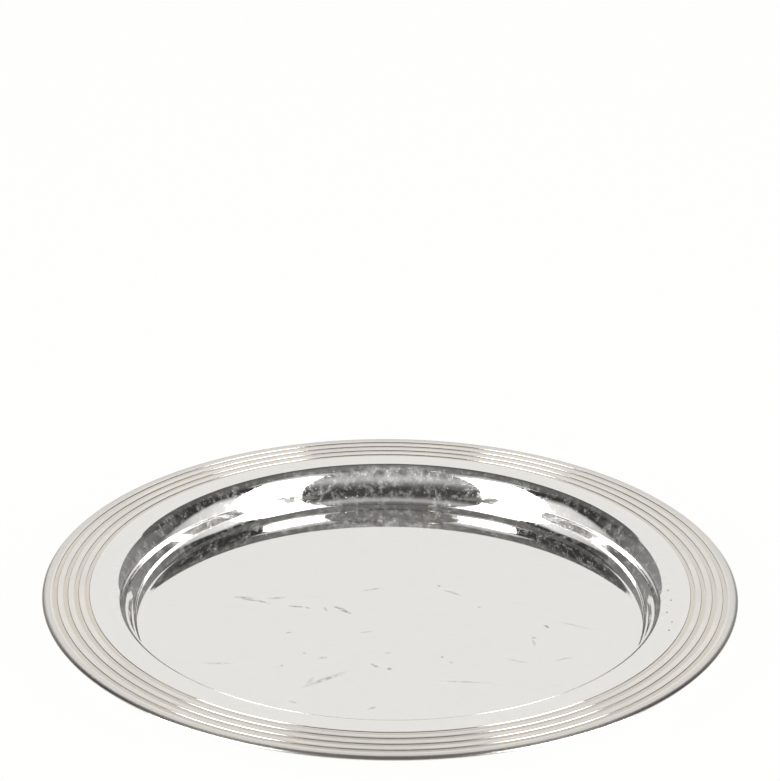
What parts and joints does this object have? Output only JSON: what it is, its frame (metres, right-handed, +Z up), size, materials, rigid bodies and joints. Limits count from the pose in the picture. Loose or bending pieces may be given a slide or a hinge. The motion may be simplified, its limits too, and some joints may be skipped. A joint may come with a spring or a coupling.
{
  "type": "bottle coaster",
  "caption": "Shallow round plated metal bottle coaster with a flat-floored well, a steep coved wall and a wide flat rim edged with fine concentric reeds.",
  "frame": {"origin": "centre of the underside of the floor, on the table", "axes": "+Z up along the coaster's axis of turning; X and Y are alike, and -Y faces the picture's camera"},
  "size_m": [0.16, 0.16, 0.0094],
  "materials": {
    "dish_plate": "polished",
    "border_plate": "polished",
    "solder": "satin"
  },
  "bodies": {
    "root": {"dish": "dish_plate", "reeded_border": "border_plate", "solder_seam": "solder"}
  },
  "joints": []
}
